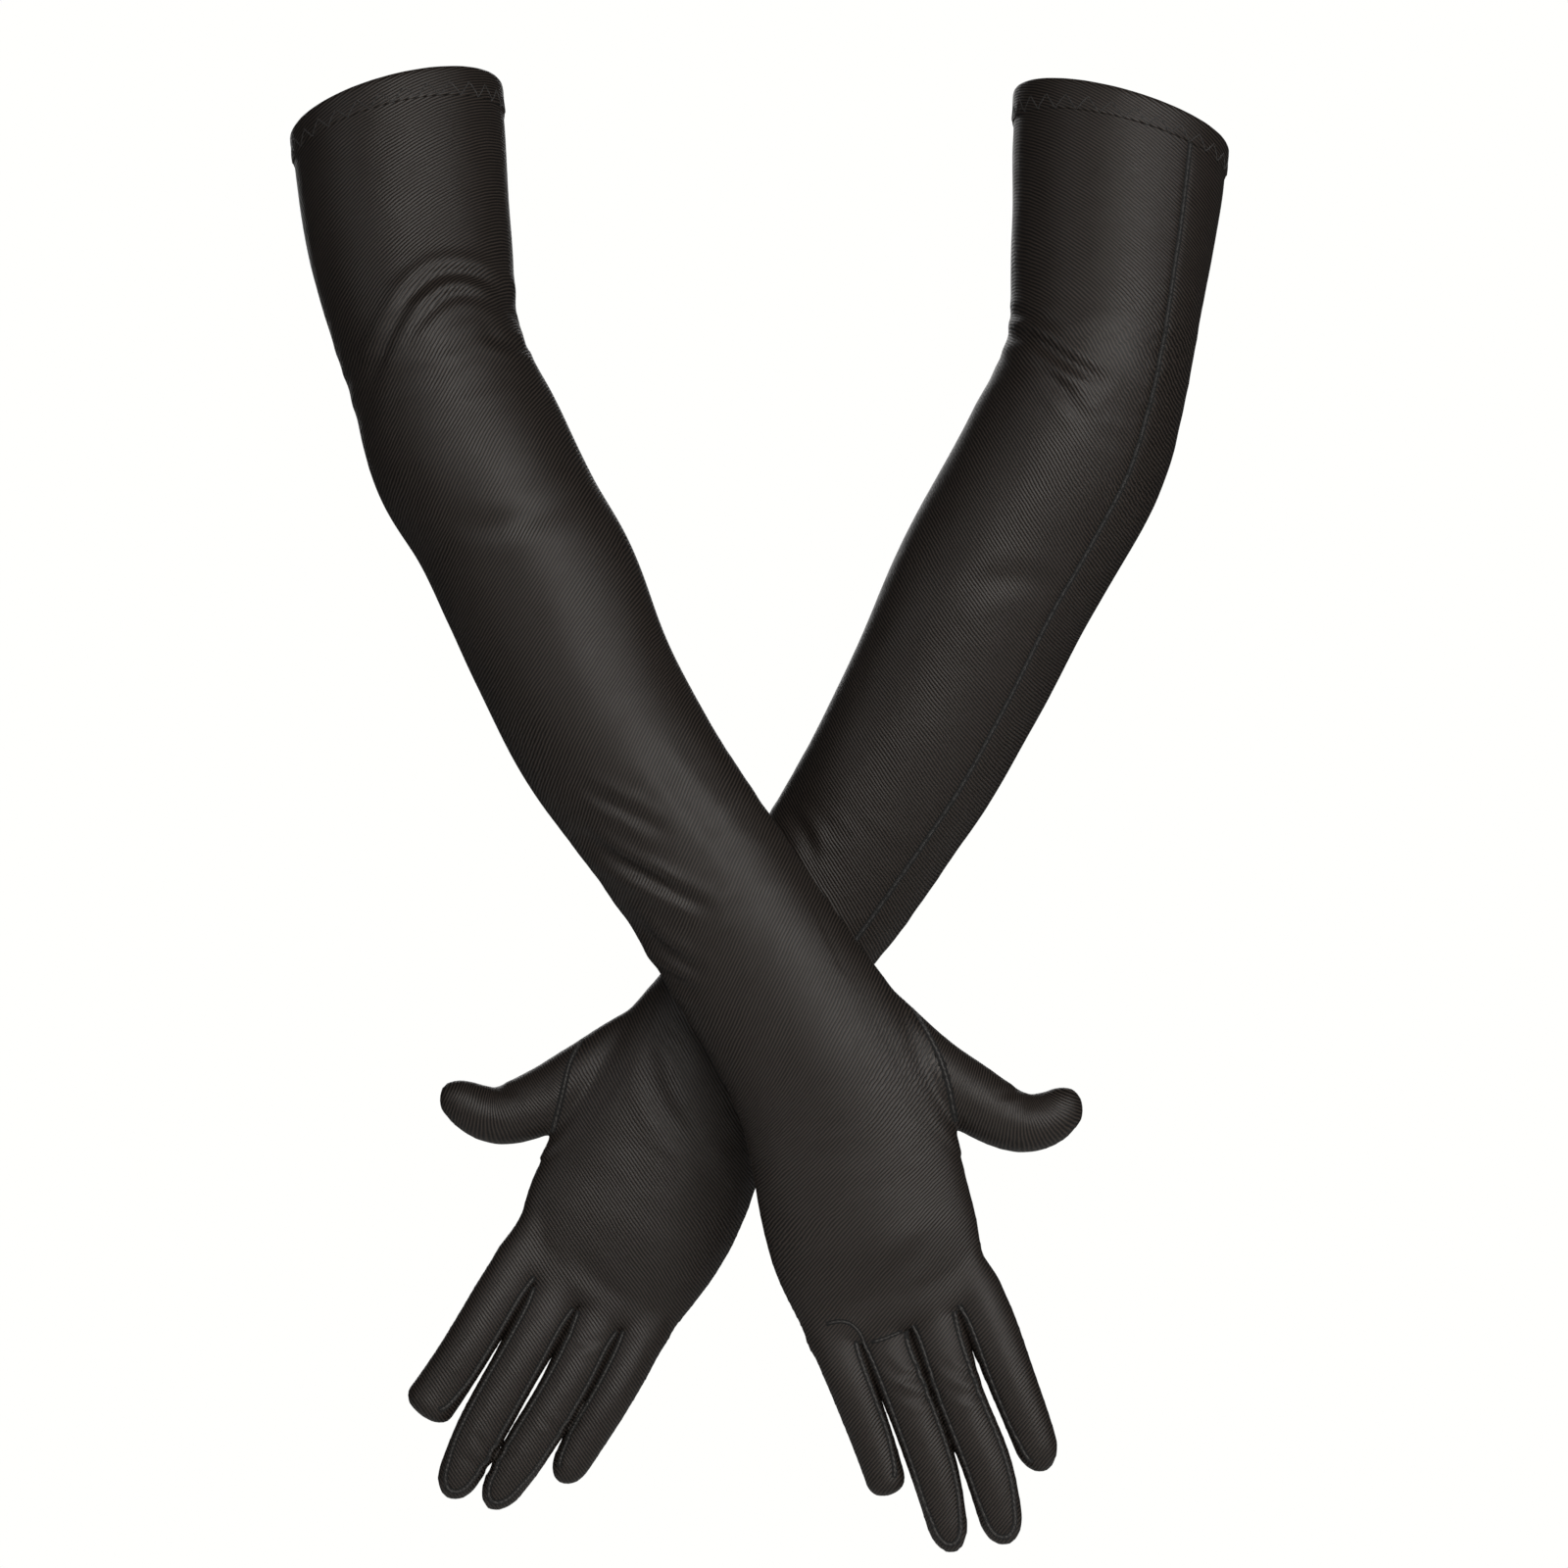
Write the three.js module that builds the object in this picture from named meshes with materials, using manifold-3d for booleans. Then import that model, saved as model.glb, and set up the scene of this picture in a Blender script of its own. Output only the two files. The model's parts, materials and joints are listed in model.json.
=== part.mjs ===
// A pair of long opera gloves in stretch satin, in the shape they have on a wearer's arms: the
// right glove crosses in front of the left one at the wrists, backs of the hands to the front.
// Millimetres. +X runs from the wearer's right arm to the left one, +Y from the backs of the
// hands to the palms, +Z up the arms. The origin is the centre of the right glove's cuff.
//
// Each glove is a hollow fabric tube sewn from a sleeve and palm, a thumb, a back and a palm
// face for each finger, and the side strips between the fingers (fourchettes). A fabric wall is
// thicker than real satin so that it is a sound solid. Each digit turns on the palm at its base.
import * as THREE from "three";
import { mergeVertices } from "three/addons/utils/BufferGeometryUtils.js";
import Module from "manifold-3d";

const wasm = await Module();
wasm.setup();

// ---------- driving dimensions ----------
const FABRIC = 1.2; // wall of every fabric piece
const GAP = 0.35; // clearance between sewn neighbours
const CUFF_SPACING = 260; // between the centres of the two cuffs
const HEM_DEPTH = 9; // turned hem at the cuff
const ELASTIC = { thickness: 0.8, top: 1.8, bottom: 7.4 }; // flat elastic inside the hem
const FACING = 1; // turned-in layer of the hem
const SEAM_SLIT = 2.2; // opening that the side seam closes
const SEAM_THREAD = 0.4; // half width of the side seam's thread
const ELBOW = 0.245; // where the sleeve divides, as a share of the arm's line
const WRIST = 0.705; // where the sleeve meets the palm
const FINGER_FLATNESS = 0.92; // half depth over half width of a digit
const FINGER_FOLD = THREE.MathUtils.degToRad(60); // how far a finger folds to the palm
const THUMB_FOLD = THREE.MathUtils.degToRad(45); // how far a thumb folds to the palm
const STRIP = 3.6; // half width of the side strips between the fingers
const STRIP_END = 5; // from a side strip's end to the fingertip
const PALM_CLOSING = 9; // length over which the palm closes to the webs between the fingers
const PALM_EDGE = 0.35; // half depth of the webs over the palm's own
const TIP_EDGE = 0.12; // smallest ring of a rounded fingertip over the digit's size
const TIP_CROWDING = 1.7; // how much closer together the rings are towards a fingertip
const THREAD_INSET = 0.1; // how far the side seam's thread keeps inside the fabric's faces
const BORE_OVERLAP = 2; // how far the hollow of a digit runs past its base plane
const PALM_OVERLAP = 9; // how far the hollow of the palm runs past the wrist's edge
const SLEEVE_SIDES = 24;
const UPPER_STEPS = 4;
const FOREARM_STEPS = 6;
const THREAD_STEPS = 14;
const PALM_SIDES = 20;
const PALM_STEPS = 7;
const DIGIT_SIDES = 12;
const DIGIT_STEPS = 7;
const SLAB_STEPS = 5;
const ARC_SAMPLES = 400;
const HINGE_SEARCH = 0.002; // step of the search for a hinge, as a share of the digit's line
const SLOPE_DEPTH = 70; // length over which the rim's slope dies out down the sleeve
const THUMB_SEAM_AT = 0.3; // where the thumb's line meets its seam, as a share of its length
const PAST_END = 0.05; // how far a cutting solid runs past a digit's line, as a share of it
const SLAB = { from: 0.2, to: 1.6 }; // reach of a cutting slab across a digit, over its half width
const SATIN = { color: 0x2a2523, roughness: 0.45, metalness: 0 };
const TRIM = { color: 0x171515, roughness: 0.7, metalness: 0 };

const AWAY = new THREE.Vector3(0, 1, 0); // from the back of the hand to the palm

// Stations run down the arm: distance from the middle plane towards the wearer's own side, depth,
// height, half width, half depth.
const RIGHT = {
  name: "right",
  side: -1,
  seamAngle: 160, // the side seam, in degrees round the sleeve from the +X edge
  rimSlope: { across: -0.147, away: 0.03 }, // how far the rim's plane slopes off square
  arm: [
    [130, 0, 0, 38.5, 38], // rim of the cuff
    [124.6, -14, -47, 36.8, 36], // upper arm
    [116.4, -26, -88, 32.4, 34.5], // above the elbow
    [103.8, -31, -121, 35.8, 35], // elbow
    [90.4, -33.5, -146, 34.5, 34], // below the elbow
    [78.5, -35, -169, 35.3, 33], // forearm
    [56.5, -38, -218, 33.7, 29], // lower forearm
    [26.2, -41, -264, 31.6, 24], // above the wrist
    [-3.3, -42, -309, 32.6, 20.5], // wrist
    [-27, -42, -350, 35.3, 19], // heel of the hand
    [-39.6, -41, -398, 37.4, 16], // palm
    [-50.7, -40, -433, 34.6, 12], // knuckles
  ],
  digits: {
    index: [
      [-68.8, -40, -403, 8.2],
      [-80.4, -40, -427, 8.8],
      [-90, -41, -453, 8.6],
      [-98.6, -38, -476, 7.6],
      [-101.5, -36, -486, 6.2],
    ],
    middle: [
      [-54, -40, -408, 8.2],
      [-62.2, -40, -431, 8.4],
      [-70.4, -42, -456, 8.6],
      [-81.4, -39, -484, 8.8],
      [-88.5, -34, -512, 7],
    ],
    ring: [
      [-36.8, -40, -412, 8.4],
      [-44, -40, -436, 8.3],
      [-51.9, -41, -456, 8.6],
      [-62.6, -38, -486, 8.5],
      [-69.5, -34, -515, 6.2],
    ],
    little: [
      [-18.8, -39, -418, 7.6],
      [-25.6, -40, -437, 8.4],
      [-31.7, -41, -452, 8],
      [-40.6, -38, -475, 7.5],
      [-47, -36, -494, 6.6],
    ],
    thumb: [
      [-36, -42, -312.5, 10.5],
      [-60.4, -40, -340.4, 11.8],
      [-73.4, -38, -351.4, 12.3],
      [-94, -36, -361.8, 10.6],
      [-105.2, -36, -358.8, 9.2],
      [-112.6, -36, -350, 6.3],
    ],
  },
  bases: { index: 2, middle: 5, ring: 5, little: 3 },
  tips: { index: 9, middle: 10, ring: 10, little: 4, thumb: 7 },
  thumbSeam: { top: [-48, -311], bottom: [-71, -363] },
  splay: { index: 0, middle: 0, ring: 0, little: 0 }, // degrees that a hinge turns about +Y
};

const LEFT = {
  name: "left",
  side: 1,
  seamAngle: 310,
  rimSlope: { across: 0.2, away: 0.05 },
  arm: [
    [129.8, -0.8, -3.5, 39, 38],
    [126.3, -11, -49, 36.2, 36],
    [121.2, -20, -88, 33.2, 34.5],
    [110.3, -20, -121, 36.6, 35],
    [82.8, -14, -172, 35.8, 33],
    [58.5, -6, -222, 34.2, 29],
    [30.6, 1, -268, 31.3, 23.5],
    [-1.4, 4, -314, 30, 20],
    [-26.3, 5, -354, 35.3, 18.5],
    [-43.8, 6, -391, 37.4, 15.5],
    [-62.6, 7, -427, 33.6, 12],
  ],
  digits: {
    index: [
      [-76.4, 6, -395, 8.3],
      [-88.4, 6, -415.4, 8.6],
      [-104.6, 6, -443, 8.8],
      [-115.4, 9, -459.6, 9],
      [-121, 10, -467.4, 9.1],
    ],
    middle: [
      [-60.3, 6, -401, 8.3],
      [-72.8, 6, -423.8, 8.4],
      [-83.4, 5, -443.4, 8.7],
      [-99.8, 8, -473, 8.8],
      [-111.6, 12, -497.5, 6.8],
    ],
    ring: [
      [-46.1, 6, -411, 8.3],
      [-58.2, 6, -434.3, 8.3],
      [-68, 5, -454.2, 8.5],
      [-84, 8, -480.8, 8.3],
      [-97.2, 12, -501, 6.2],
    ],
    little: [
      [-30.2, 7, -419.4, 7.6],
      [-44.4, 6, -445, 7.9],
      [-53.5, 6, -461.5, 7.5],
      [-63.2, 9, -477.3, 7.2],
      [-71.5, 12, -492, 6.1],
    ],
    thumb: [
      [-38, 5, -320.3, 10.5],
      [-62, 7, -345.2, 11.8],
      [-77, 9, -354.6, 12],
      [-94.2, 10, -360, 10.3],
      [-105.4, 10, -355.6, 8.3],
      [-113.2, 10, -349.4, 6],
    ],
  },
  bases: { index: 3, middle: 7, ring: 7, little: 6 },
  tips: { index: 4, middle: 9, ring: 9, little: 8, thumb: 6 },
  thumbSeam: { top: [-52, -317], bottom: [-75, -366] },
  splay: { index: 0, middle: -2, ring: 2, little: 0 },
};

// ---------- solids ----------
function solid(geometry) {
  geometry.deleteAttribute("normal");
  geometry.deleteAttribute("uv");
  const merged = mergeVertices(geometry, 1e-4);
  return new wasm.Manifold(
    new wasm.Mesh({
      numProp: 3,
      vertProperties: merged.attributes.position.array,
      triVerts: new Uint32Array(merged.index.array),
    }),
  );
}

function mesh(manifold, name, material) {
  const made = manifold.getMesh();
  const geometry = new THREE.BufferGeometry();
  geometry.setAttribute("position", new THREE.BufferAttribute(new Float32Array(made.vertProperties), 3));
  geometry.setIndex(new THREE.BufferAttribute(made.triVerts, 1));
  geometry.computeVertexNormals();
  const piece = new THREE.Mesh(geometry, new THREE.MeshStandardMaterial(material));
  piece.name = name;
  return piece;
}

// The largest body of a cut, without the crumbs that a cut can leave beside it.
function largest(manifold) {
  return manifold.decompose().sort((a, b) => b.volume() - a.volume())[0];
}

// ---------- the line of a limb ----------
// A smooth line through the stations that also carries the half width and half depth. Its cross
// sections are square to it, apart from a slope that starts at slope and dies out.
function spine(glove, stations, slope = { across: 0, away: 0 }) {
  const at = ([u, y, z]) => new THREE.Vector3(CUFF_SPACING / 2 + glove.side * u, y, z);
  const line = new THREE.CatmullRomCurve3(stations.map(at), false, "centripetal");
  const sizeOf = (s) => new THREE.Vector3(s[3], s[4] ?? FINGER_FLATNESS * s[3], 0);
  const sizes = new THREE.CatmullRomCurve3(stations.map(sizeOf), false, "catmullrom", 0.5);
  line.arcLengthDivisions = ARC_SAMPLES;
  const length = line.getLength();
  return {
    length,
    frame(share) {
      const u = line.getUtoTmapping(THREE.MathUtils.clamp(share, 0, 1));
      const centre = line.getPoint(u);
      const along = line.getTangent(u);
      const away = AWAY.clone().addScaledVector(along, -AWAY.dot(along)).normalize();
      const across = new THREE.Vector3().crossVectors(along, away);
      const size = sizes.getPoint(u);
      const fade = 1 - THREE.MathUtils.smoothstep(share * length, 0, SLOPE_DEPTH);
      const lean = (x, y) => fade * (slope.across * x + slope.away * y);
      return { centre, along, away, across, width: size.x, depth: size.y, lean };
    },
  };
}

// Wraps a geometry made round the Y axis, y from 0.5 at the start to -0.5 at the end, on a line.
function wrap(geometry, limb, from, to, place) {
  const position = geometry.attributes.position;
  const point = new THREE.Vector3();
  for (let i = 0; i < position.count; i++) {
    point.fromBufferAttribute(position, i);
    const share = from + (to - from) * (0.5 - point.y);
    const frame = limb.frame(share);
    const [across, away] = place(point, frame, share);
    point.copy(frame.centre).addScaledVector(frame.across, across).addScaledVector(frame.away, away);
    point.addScaledVector(frame.along, frame.lean(across, away));
    position.setXYZ(i, point.x, point.y, point.z);
  }
  return solid(geometry);
}

// A sheet of fabric round a line, open along a slit: inner and outer are offsets from its surface.
function sheet(limb, from, to, inner, outer, slit, steps) {
  const box = new THREE.BoxGeometry(1, 1, 1, 1, steps, SLEEVE_SIDES);
  return wrap(box, limb, from, to, (p, f) => {
    const offset = THREE.MathUtils.lerp(inner, outer, p.x + 0.5);
    const edge = slit.width / (f.width + f.depth);
    const turn = slit.angle + edge + (0.5 - p.z) * 2 * (Math.PI - edge);
    return [(f.width + offset) * Math.cos(turn), (f.depth + offset) * Math.sin(turn)];
  });
}

// A strip in the wall of a tube at an angle round it.
function wallStrip(limb, from, to, turn, halfWidth, inner, outer) {
  const box = new THREE.BoxGeometry(1, 1, 1, 1, THREAD_STEPS, 1);
  return wrap(box, limb, from, to, (p, f) => {
    const reach = THREE.MathUtils.lerp(inner, outer, p.x + 0.5);
    const across = (f.width + reach) * Math.cos(turn);
    const away = (f.depth + reach) * Math.sin(turn);
    const tangent = new THREE.Vector2(-f.width * Math.sin(turn), f.depth * Math.cos(turn)).normalize();
    const shift = -2 * halfWidth * p.z;
    return [across + shift * tangent.x, away + shift * tangent.y];
  });
}

// How wide a rounded end is at a share of its length from the very end: an ellipse's quarter.
function closing(left, least) {
  return left < 1 ? Math.max(least, Math.sqrt(1 - (1 - left) ** 2)) : 1;
}

// A digit: a tube that closes over its last millimetres in a rounded tip.
function digitSolid(limb, tip, offset) {
  const column = new THREE.CylinderGeometry(1, 1, 1, DIGIT_SIDES, DIGIT_STEPS);
  const end = 1 + offset / limb.length;
  const position = column.attributes.position;
  for (let i = 0; i < position.count; i++) {
    const share = 0.5 - position.getY(i);
    position.setY(i, 0.5 - (1 - (1 - share) ** TIP_CROWDING));
  }
  return wrap(column, limb, 0, end, (p, f, share) => {
    const left = Math.max(0, (end - share) * limb.length);
    const rounding = closing(left / tip, TIP_EDGE);
    return [(f.width + offset) * rounding * p.x, -(f.depth + offset) * rounding * p.z];
  });
}

// Keeps what lies beyond a plane through point with that normal.
function beyond(manifold, point, normal, distance) {
  return manifold.trimByPlane([normal.x, normal.y, normal.z], normal.dot(point) + distance);
}

// ---------- one glove ----------
function arm(glove) {
  return spine(glove, glove.arm, glove.rimSlope);
}

function palmEnd(glove) {
  return arm(glove).frame(1);
}

// Where a digit turns: a point, the direction out of the palm and the hinge's axis.
function hinge(glove, name) {
  const limb = spine(glove, glove.digits[name]);
  if (name === "thumb") {
    const { top, bottom } = glove.thumbSeam;
    const x = (u) => CUFF_SPACING / 2 + glove.side * u;
    const depth = limb.frame(THUMB_SEAM_AT).centre.y;
    const upper = new THREE.Vector3(x(top[0]), depth, top[1]);
    const lower = new THREE.Vector3(x(bottom[0]), depth, bottom[1]);
    const seam = lower.clone().sub(upper).normalize();
    const out = new THREE.Vector3().crossVectors(seam, AWAY).multiplyScalar(-glove.side);
    return { point: upper.lerp(lower, 0.5), out, fold: THUMB_FOLD };
  }
  const end = palmEnd(glove);
  const past = (share) => limb.frame(share).centre.sub(end.centre).dot(end.along);
  let share = 0;
  while (past(share) < glove.bases[name]) share += HINGE_SEARCH;
  const { centre, along } = limb.frame(share);
  const out = along.applyAxisAngle(AWAY, THREE.MathUtils.degToRad(glove.splay[name]));
  return { point: centre, out, fold: FINGER_FOLD };
}

// What a digit keeps: all beyond its base, less the wedge that folding to the palm closes.
function digitShare(manifold, { point, out, fold }) {
  const toPalm = AWAY.clone().addScaledVector(out, -AWAY.dot(out)).normalize();
  const folded = out.clone().multiplyScalar(Math.cos(fold)).addScaledVector(toPalm, -Math.sin(fold));
  return beyond(beyond(manifold, point, out, GAP / 2), point, folded, GAP / 2);
}

function slitOf(glove) {
  return { angle: THREE.MathUtils.degToRad(glove.seamAngle), width: SEAM_SLIT };
}

function sleeve(glove, name, from, to, steps) {
  const limb = arm(glove);
  const gap = GAP / 2 / limb.length;
  const start = from === 0 ? 0 : from + gap;
  const made = sheet(limb, start, to - gap, -FABRIC, 0, slitOf(glove), steps);
  return mesh(made, `${glove.name}_${name}`, SATIN);
}

function seamThread(glove) {
  const limb = arm(glove);
  const { angle } = slitOf(glove);
  const made = wallStrip(limb, 0, WRIST, angle, SEAM_THREAD, THREAD_INSET - FABRIC, -THREAD_INSET);
  return mesh(made, `${glove.name}_side_seam_thread`, TRIM);
}

function hem(glove) {
  const limb = arm(glove);
  const band = (name, top, bottom, outside, thickness, material) => {
    const [from, to] = [top / limb.length, bottom / limb.length];
    const made = sheet(limb, from, to, -outside - thickness, -outside, slitOf(glove), 1);
    return mesh(made, `${glove.name}_${name}`, material);
  };
  const { top, bottom, thickness } = ELASTIC;
  const elasticOut = FABRIC + GAP;
  const facingOut = elasticOut + thickness + GAP;
  return [
    band("hem_elastic", top, bottom, elasticOut, thickness, TRIM),
    band("hem_facing", 0, HEM_DEPTH, facingOut, FACING, SATIN),
  ];
}

// The palm without its digits, grown by offset, and run back past its start by overlap.
function palmSolid(glove, offset, overlap) {
  const limb = arm(glove);
  const column = new THREE.CylinderGeometry(1, 1, 1, PALM_SIDES, PALM_STEPS);
  const from = WRIST + (GAP / 2 - overlap) / limb.length;
  const end = 1 + offset / limb.length;
  return wrap(column, limb, from, end, (p, f, share) => {
    const flat = closing(((end - share) * limb.length) / PALM_CLOSING, PALM_EDGE);
    return [(f.width + offset) * p.x, -(f.depth + offset) * flat * p.z];
  });
}

function palm(glove) {
  let outer = palmSolid(glove, 0, 0);
  let inner = palmSolid(glove, -FABRIC, PALM_OVERLAP);
  for (const [name, stations] of Object.entries(glove.digits)) {
    const digit = spine(glove, stations);
    const { point, out } = hinge(glove, name);
    const back = out.clone().negate();
    const stub = digitSolid(digit, glove.tips[name], 0);
    const bore = digitSolid(digit, glove.tips[name], -FABRIC);
    outer = outer.add(beyond(stub, point, back, GAP / 2));
    inner = inner.add(beyond(bore, point, back, -BORE_OVERLAP));
  }
  return mesh(largest(outer.subtract(inner)), `${glove.name}_palm`, SATIN);
}

function digitShell(glove, name) {
  const limb = spine(glove, glove.digits[name]);
  const outer = digitSolid(limb, glove.tips[name], 0);
  const inner = digitSolid(limb, glove.tips[name], -FABRIC);
  return digitShare(outer.subtract(inner), hinge(glove, name));
}

function thumb(glove) {
  return mesh(largest(digitShell(glove, "thumb")), `${glove.name}_thumb`, SATIN);
}

// A slab along one edge of a digit: towards is +1 for its +X edge, reach is the slab's half height.
function slab(limb, towards, reach, grown) {
  const box = new THREE.BoxGeometry(1, 1, 1, 1, SLAB_STEPS, 1);
  const end = 1 - (STRIP_END - grown) / limb.length;
  return wrap(box, limb, 0, end, (p, f) => {
    const out = THREE.MathUtils.lerp(SLAB.from, SLAB.to, 0.5 + p.x * towards) * f.width * towards;
    return [out, -2 * reach * p.z];
  });
}

// All of a digit on one side of its middle: away is +1 for the palm side, -1 for the back.
function half(limb, away) {
  const box = new THREE.BoxGeometry(1, 1, 1, 1, SLAB_STEPS, 1);
  return wrap(box, limb, -PAST_END, 1 + PAST_END, (p, f) => {
    const depth = THREE.MathUtils.lerp(GAP / 2, f.depth * SLAB.to, 0.5 - p.z * away) * away;
    return [2 * SLAB.to * f.width * p.x, depth];
  });
}

// A finger's pieces: a side strip on each edge in strips (+1 is the +X edge), and what is left,
// parted into its back and its palm face where the finger is seamed.
function finger(glove, name, strips, seamed) {
  const limb = spine(glove, glove.digits[name]);
  const shell = digitShell(glove, name);
  const sideName = (towards) => (towards === -glove.side ? "inner" : "outer");
  const piece = (body, part) => mesh(largest(body), `${glove.name}_${name}_${part}`, SATIN);
  const pieces = [];
  let rest = shell;
  for (const towards of strips) {
    const strip = shell.intersect(slab(limb, towards, STRIP, 0));
    pieces.push(piece(strip, `${sideName(towards)}_strip`));
    rest = rest.subtract(slab(limb, towards, STRIP + GAP, GAP));
  }
  if (seamed) {
    pieces.push(piece(rest.intersect(half(limb, -1)), "back"));
    pieces.push(piece(rest.intersect(half(limb, 1)), "palm_face"));
  } else {
    pieces.push(piece(rest, "finger"));
  }
  return pieces;
}

function build(glove) {
  const toThumb = -glove.side;
  const group = new THREE.Group();
  group.add(sleeve(glove, "upper_sleeve", 0, ELBOW, UPPER_STEPS));
  group.add(sleeve(glove, "forearm_sleeve", ELBOW, WRIST, FOREARM_STEPS));
  group.add(seamThread(glove), ...hem(glove));
  group.add(palm(glove), thumb(glove));
  group.add(...finger(glove, "index", [-toThumb], false));
  group.add(...finger(glove, "middle", [toThumb, -toThumb], true));
  group.add(...finger(glove, "ring", [toThumb, -toThumb], true));
  group.add(...finger(glove, "little", [toThumb], true));
  return group;
}

const gloves = new THREE.Group();
gloves.add(build(RIGHT), build(LEFT));

export default gloves;
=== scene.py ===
"""A pair of long black satin opera gloves on crossed arms: sewn skins, hems, seams and stitches."""
import json
import math

import bmesh
import bpy
import numpy as np
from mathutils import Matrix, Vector, noise
from mathutils.bvhtree import BVHTree

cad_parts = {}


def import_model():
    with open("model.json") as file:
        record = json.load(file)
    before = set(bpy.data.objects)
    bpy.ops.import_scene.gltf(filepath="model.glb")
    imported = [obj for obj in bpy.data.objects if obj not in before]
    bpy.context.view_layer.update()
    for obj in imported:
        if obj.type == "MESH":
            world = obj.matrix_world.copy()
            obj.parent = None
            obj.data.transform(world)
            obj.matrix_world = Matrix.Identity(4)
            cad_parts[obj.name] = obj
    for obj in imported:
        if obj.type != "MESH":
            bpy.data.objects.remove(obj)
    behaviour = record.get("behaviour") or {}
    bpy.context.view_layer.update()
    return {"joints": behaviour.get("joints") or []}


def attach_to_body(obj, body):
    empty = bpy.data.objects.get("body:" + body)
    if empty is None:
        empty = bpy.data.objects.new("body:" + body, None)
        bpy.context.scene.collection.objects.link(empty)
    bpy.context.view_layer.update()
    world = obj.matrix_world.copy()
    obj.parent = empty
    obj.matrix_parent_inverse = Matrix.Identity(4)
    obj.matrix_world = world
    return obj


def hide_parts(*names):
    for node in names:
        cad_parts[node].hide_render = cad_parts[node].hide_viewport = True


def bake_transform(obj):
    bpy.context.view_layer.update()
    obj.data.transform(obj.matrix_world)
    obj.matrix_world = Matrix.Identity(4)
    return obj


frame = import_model()

MM = 0.001
UP = np.array([0.0, 0.0, 1.0])
AWAY = np.array([0.0, 1.0, 0.0])  # from the backs of the hands to the palms

# ---------- sizes, in millimetres ----------
CUFF_SPACING = 260.0
VOXEL = 1.45  # mesh size of the skins
PINCH = 1.0  # how much thinner the digits are while the skin is remeshed, so that they stay apart
RIB_PITCH = 1.12  # from one rib of the satin to the next
HEM_DEPTH = 10.5  # from the rim to the lower edge of the hem
FLATNESS = 0.92  # half depth over half width of a digit
PALM_CLOSING = 34.0  # length over which the palm thins towards the webs
PALM_EDGE = 0.67  # half depth of the palm at the webs over its own
SLOPE_DEPTH = 70.0  # length over which the rim's slope dies out down the sleeve
BASE_FULLNESS = 1.3  # how much fuller the fingers are near the webs, where they touch
WEB_FULLNESS = 0.9  # and more still at the webs themselves
WEB_REACH = 20.0  # from where the fingers' lines start inside the palm to their webs
WEB_SIZE = (5.0, 6.4)  # half width and half depth of the web between two fingers
SHADOW_RIBBON_HALF_WIDTH = 1.15  # half width of the dark ribbon of painted shadow along a whipped seam
SHADOW_RIBBON_LIFT = 0.1  # of the painted shadow ribbon's edges off the skin, so that it shows
STITCH_PITCH = 2.0  # along the whipped seams
WELT = 0.46  # half width of a whipped seam
SEAM_ROOT = 3.5  # how far into the palm a finger's seam starts
SEAM_TURN = 8.0  # length over which a finger's seam rounds the fingertip
SEAM_TIP = 4.0  # from the top of a finger's seam to the fingertip
SEAM_SPREAD = (0.93, 0.8, 0.78, 0.66)  # a seam's place over the half width, from root to tip
SEAM_START = 150.0  # how far off the skin the search for a seam's place starts
ZIGZAGS = 28  # in the hem's stitching, all the way round
LINING_DEPTH = 2.6  # from the outside of the sleeve to the reverse of its fabric
ARM_REACH = (-60, 640)  # distances down the arm for which the ribs are worked out
BATCH = 4000  # points compared with a limb's line at a time
FLOOR = -0.66  # height of the floor, in metres
WRIST = 0.705  # where the sleeve meets the palm, as a share of the arm's line

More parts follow.
